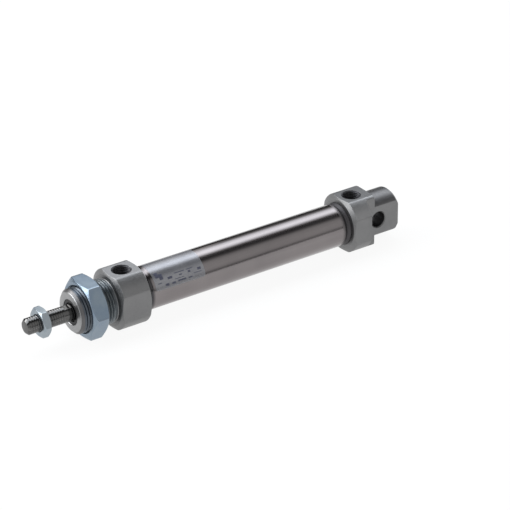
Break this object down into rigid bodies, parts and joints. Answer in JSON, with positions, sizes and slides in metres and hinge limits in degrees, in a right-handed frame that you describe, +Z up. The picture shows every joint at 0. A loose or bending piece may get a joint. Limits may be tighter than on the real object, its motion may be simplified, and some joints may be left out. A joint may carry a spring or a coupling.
{
  "type": "pneumatic cylinder",
  "caption": "Small round-body air cylinder with a threaded nose and its mounting nut, a sliding piston rod with a lock nut, side air ports and a rear pivot eye.",
  "frame": {"origin": "on the cylinder's centre line, on the shoulder where the threaded nose meets the front cap", "axes": "+X along the cylinder towards the rear eye, the rod leaves towards -X; +Z up, the way both air ports open; the pivot hole runs along Y"},
  "size_m": [0.207, 0.0312, 0.027],
  "materials": {
    "cap_aluminium": "satin, clear anodised",
    "tube_steel": "polished stainless steel",
    "rod_steel": "ground and hard chromed",
    "zinc_steel": "bright zinc plate with a blue tint",
    "retainer_steel": "plain",
    "bronze": "oil-filled sintered bronze",
    "seal_rubber": "matte",
    "bumper_rubber": "matte",
    "wear_plastic": "matte",
    "magnet": "bonded magnet, matte",
    "label_film": "silvery film"
  },
  "bodies": {
    "barrel": {"barrel_tube": "tube_steel", "front_cap": "cap_aluminium", "rear_cap": "cap_aluminium", "rod_bushing": "bronze", "rod_wiper_seal": "seal_rubber", "seal_retainer": "retainer_steel", "front_tube_seal": "seal_rubber", "rear_tube_seal": "seal_rubber", "front_bumper": "bumper_rubber", "rear_bumper": "bumper_rubber", "label": "label_film"},
    "piston_seals": {"front_piston_seal": "seal_rubber", "rear_piston_seal": "seal_rubber", "piston_wear_ring": "wear_plastic"},
    "rod": {"piston_rod": "rod_steel", "piston_front_half": "cap_aluminium", "piston_rear_half": "cap_aluminium", "piston_magnet": "magnet", "rod_seal": "seal_rubber", "piston_nut": "zinc_steel"},
    "nose_nut": {"mounting_nut": "zinc_steel"},
    "lock_nut": {"rod_nut": "zinc_steel"}
  },
  "joints": [
    {"name": "rod_slide", "type": "slide", "parent": "barrel", "child": "piston_seals", "axis": [-1, 0, 0], "range_m": [0, 0.08]},
    {"name": "rod_turn", "type": "hinge", "parent": "piston_seals", "child": "rod", "pos_m": [0, 0, 0], "axis": [-1, 0, 0], "continuous": true},
    {"name": "rod_nut_travel", "type": "slide", "parent": "rod", "child": "lock_nut", "axis": [1, 0, 0], "range_m": [-0.006, 0.0094]},
    {"name": "mounting_nut_travel", "type": "slide", "parent": "barrel", "child": "nose_nut", "axis": [1, 0, 0], "range_m": [-0.0045, 0.0069]}
  ]
}
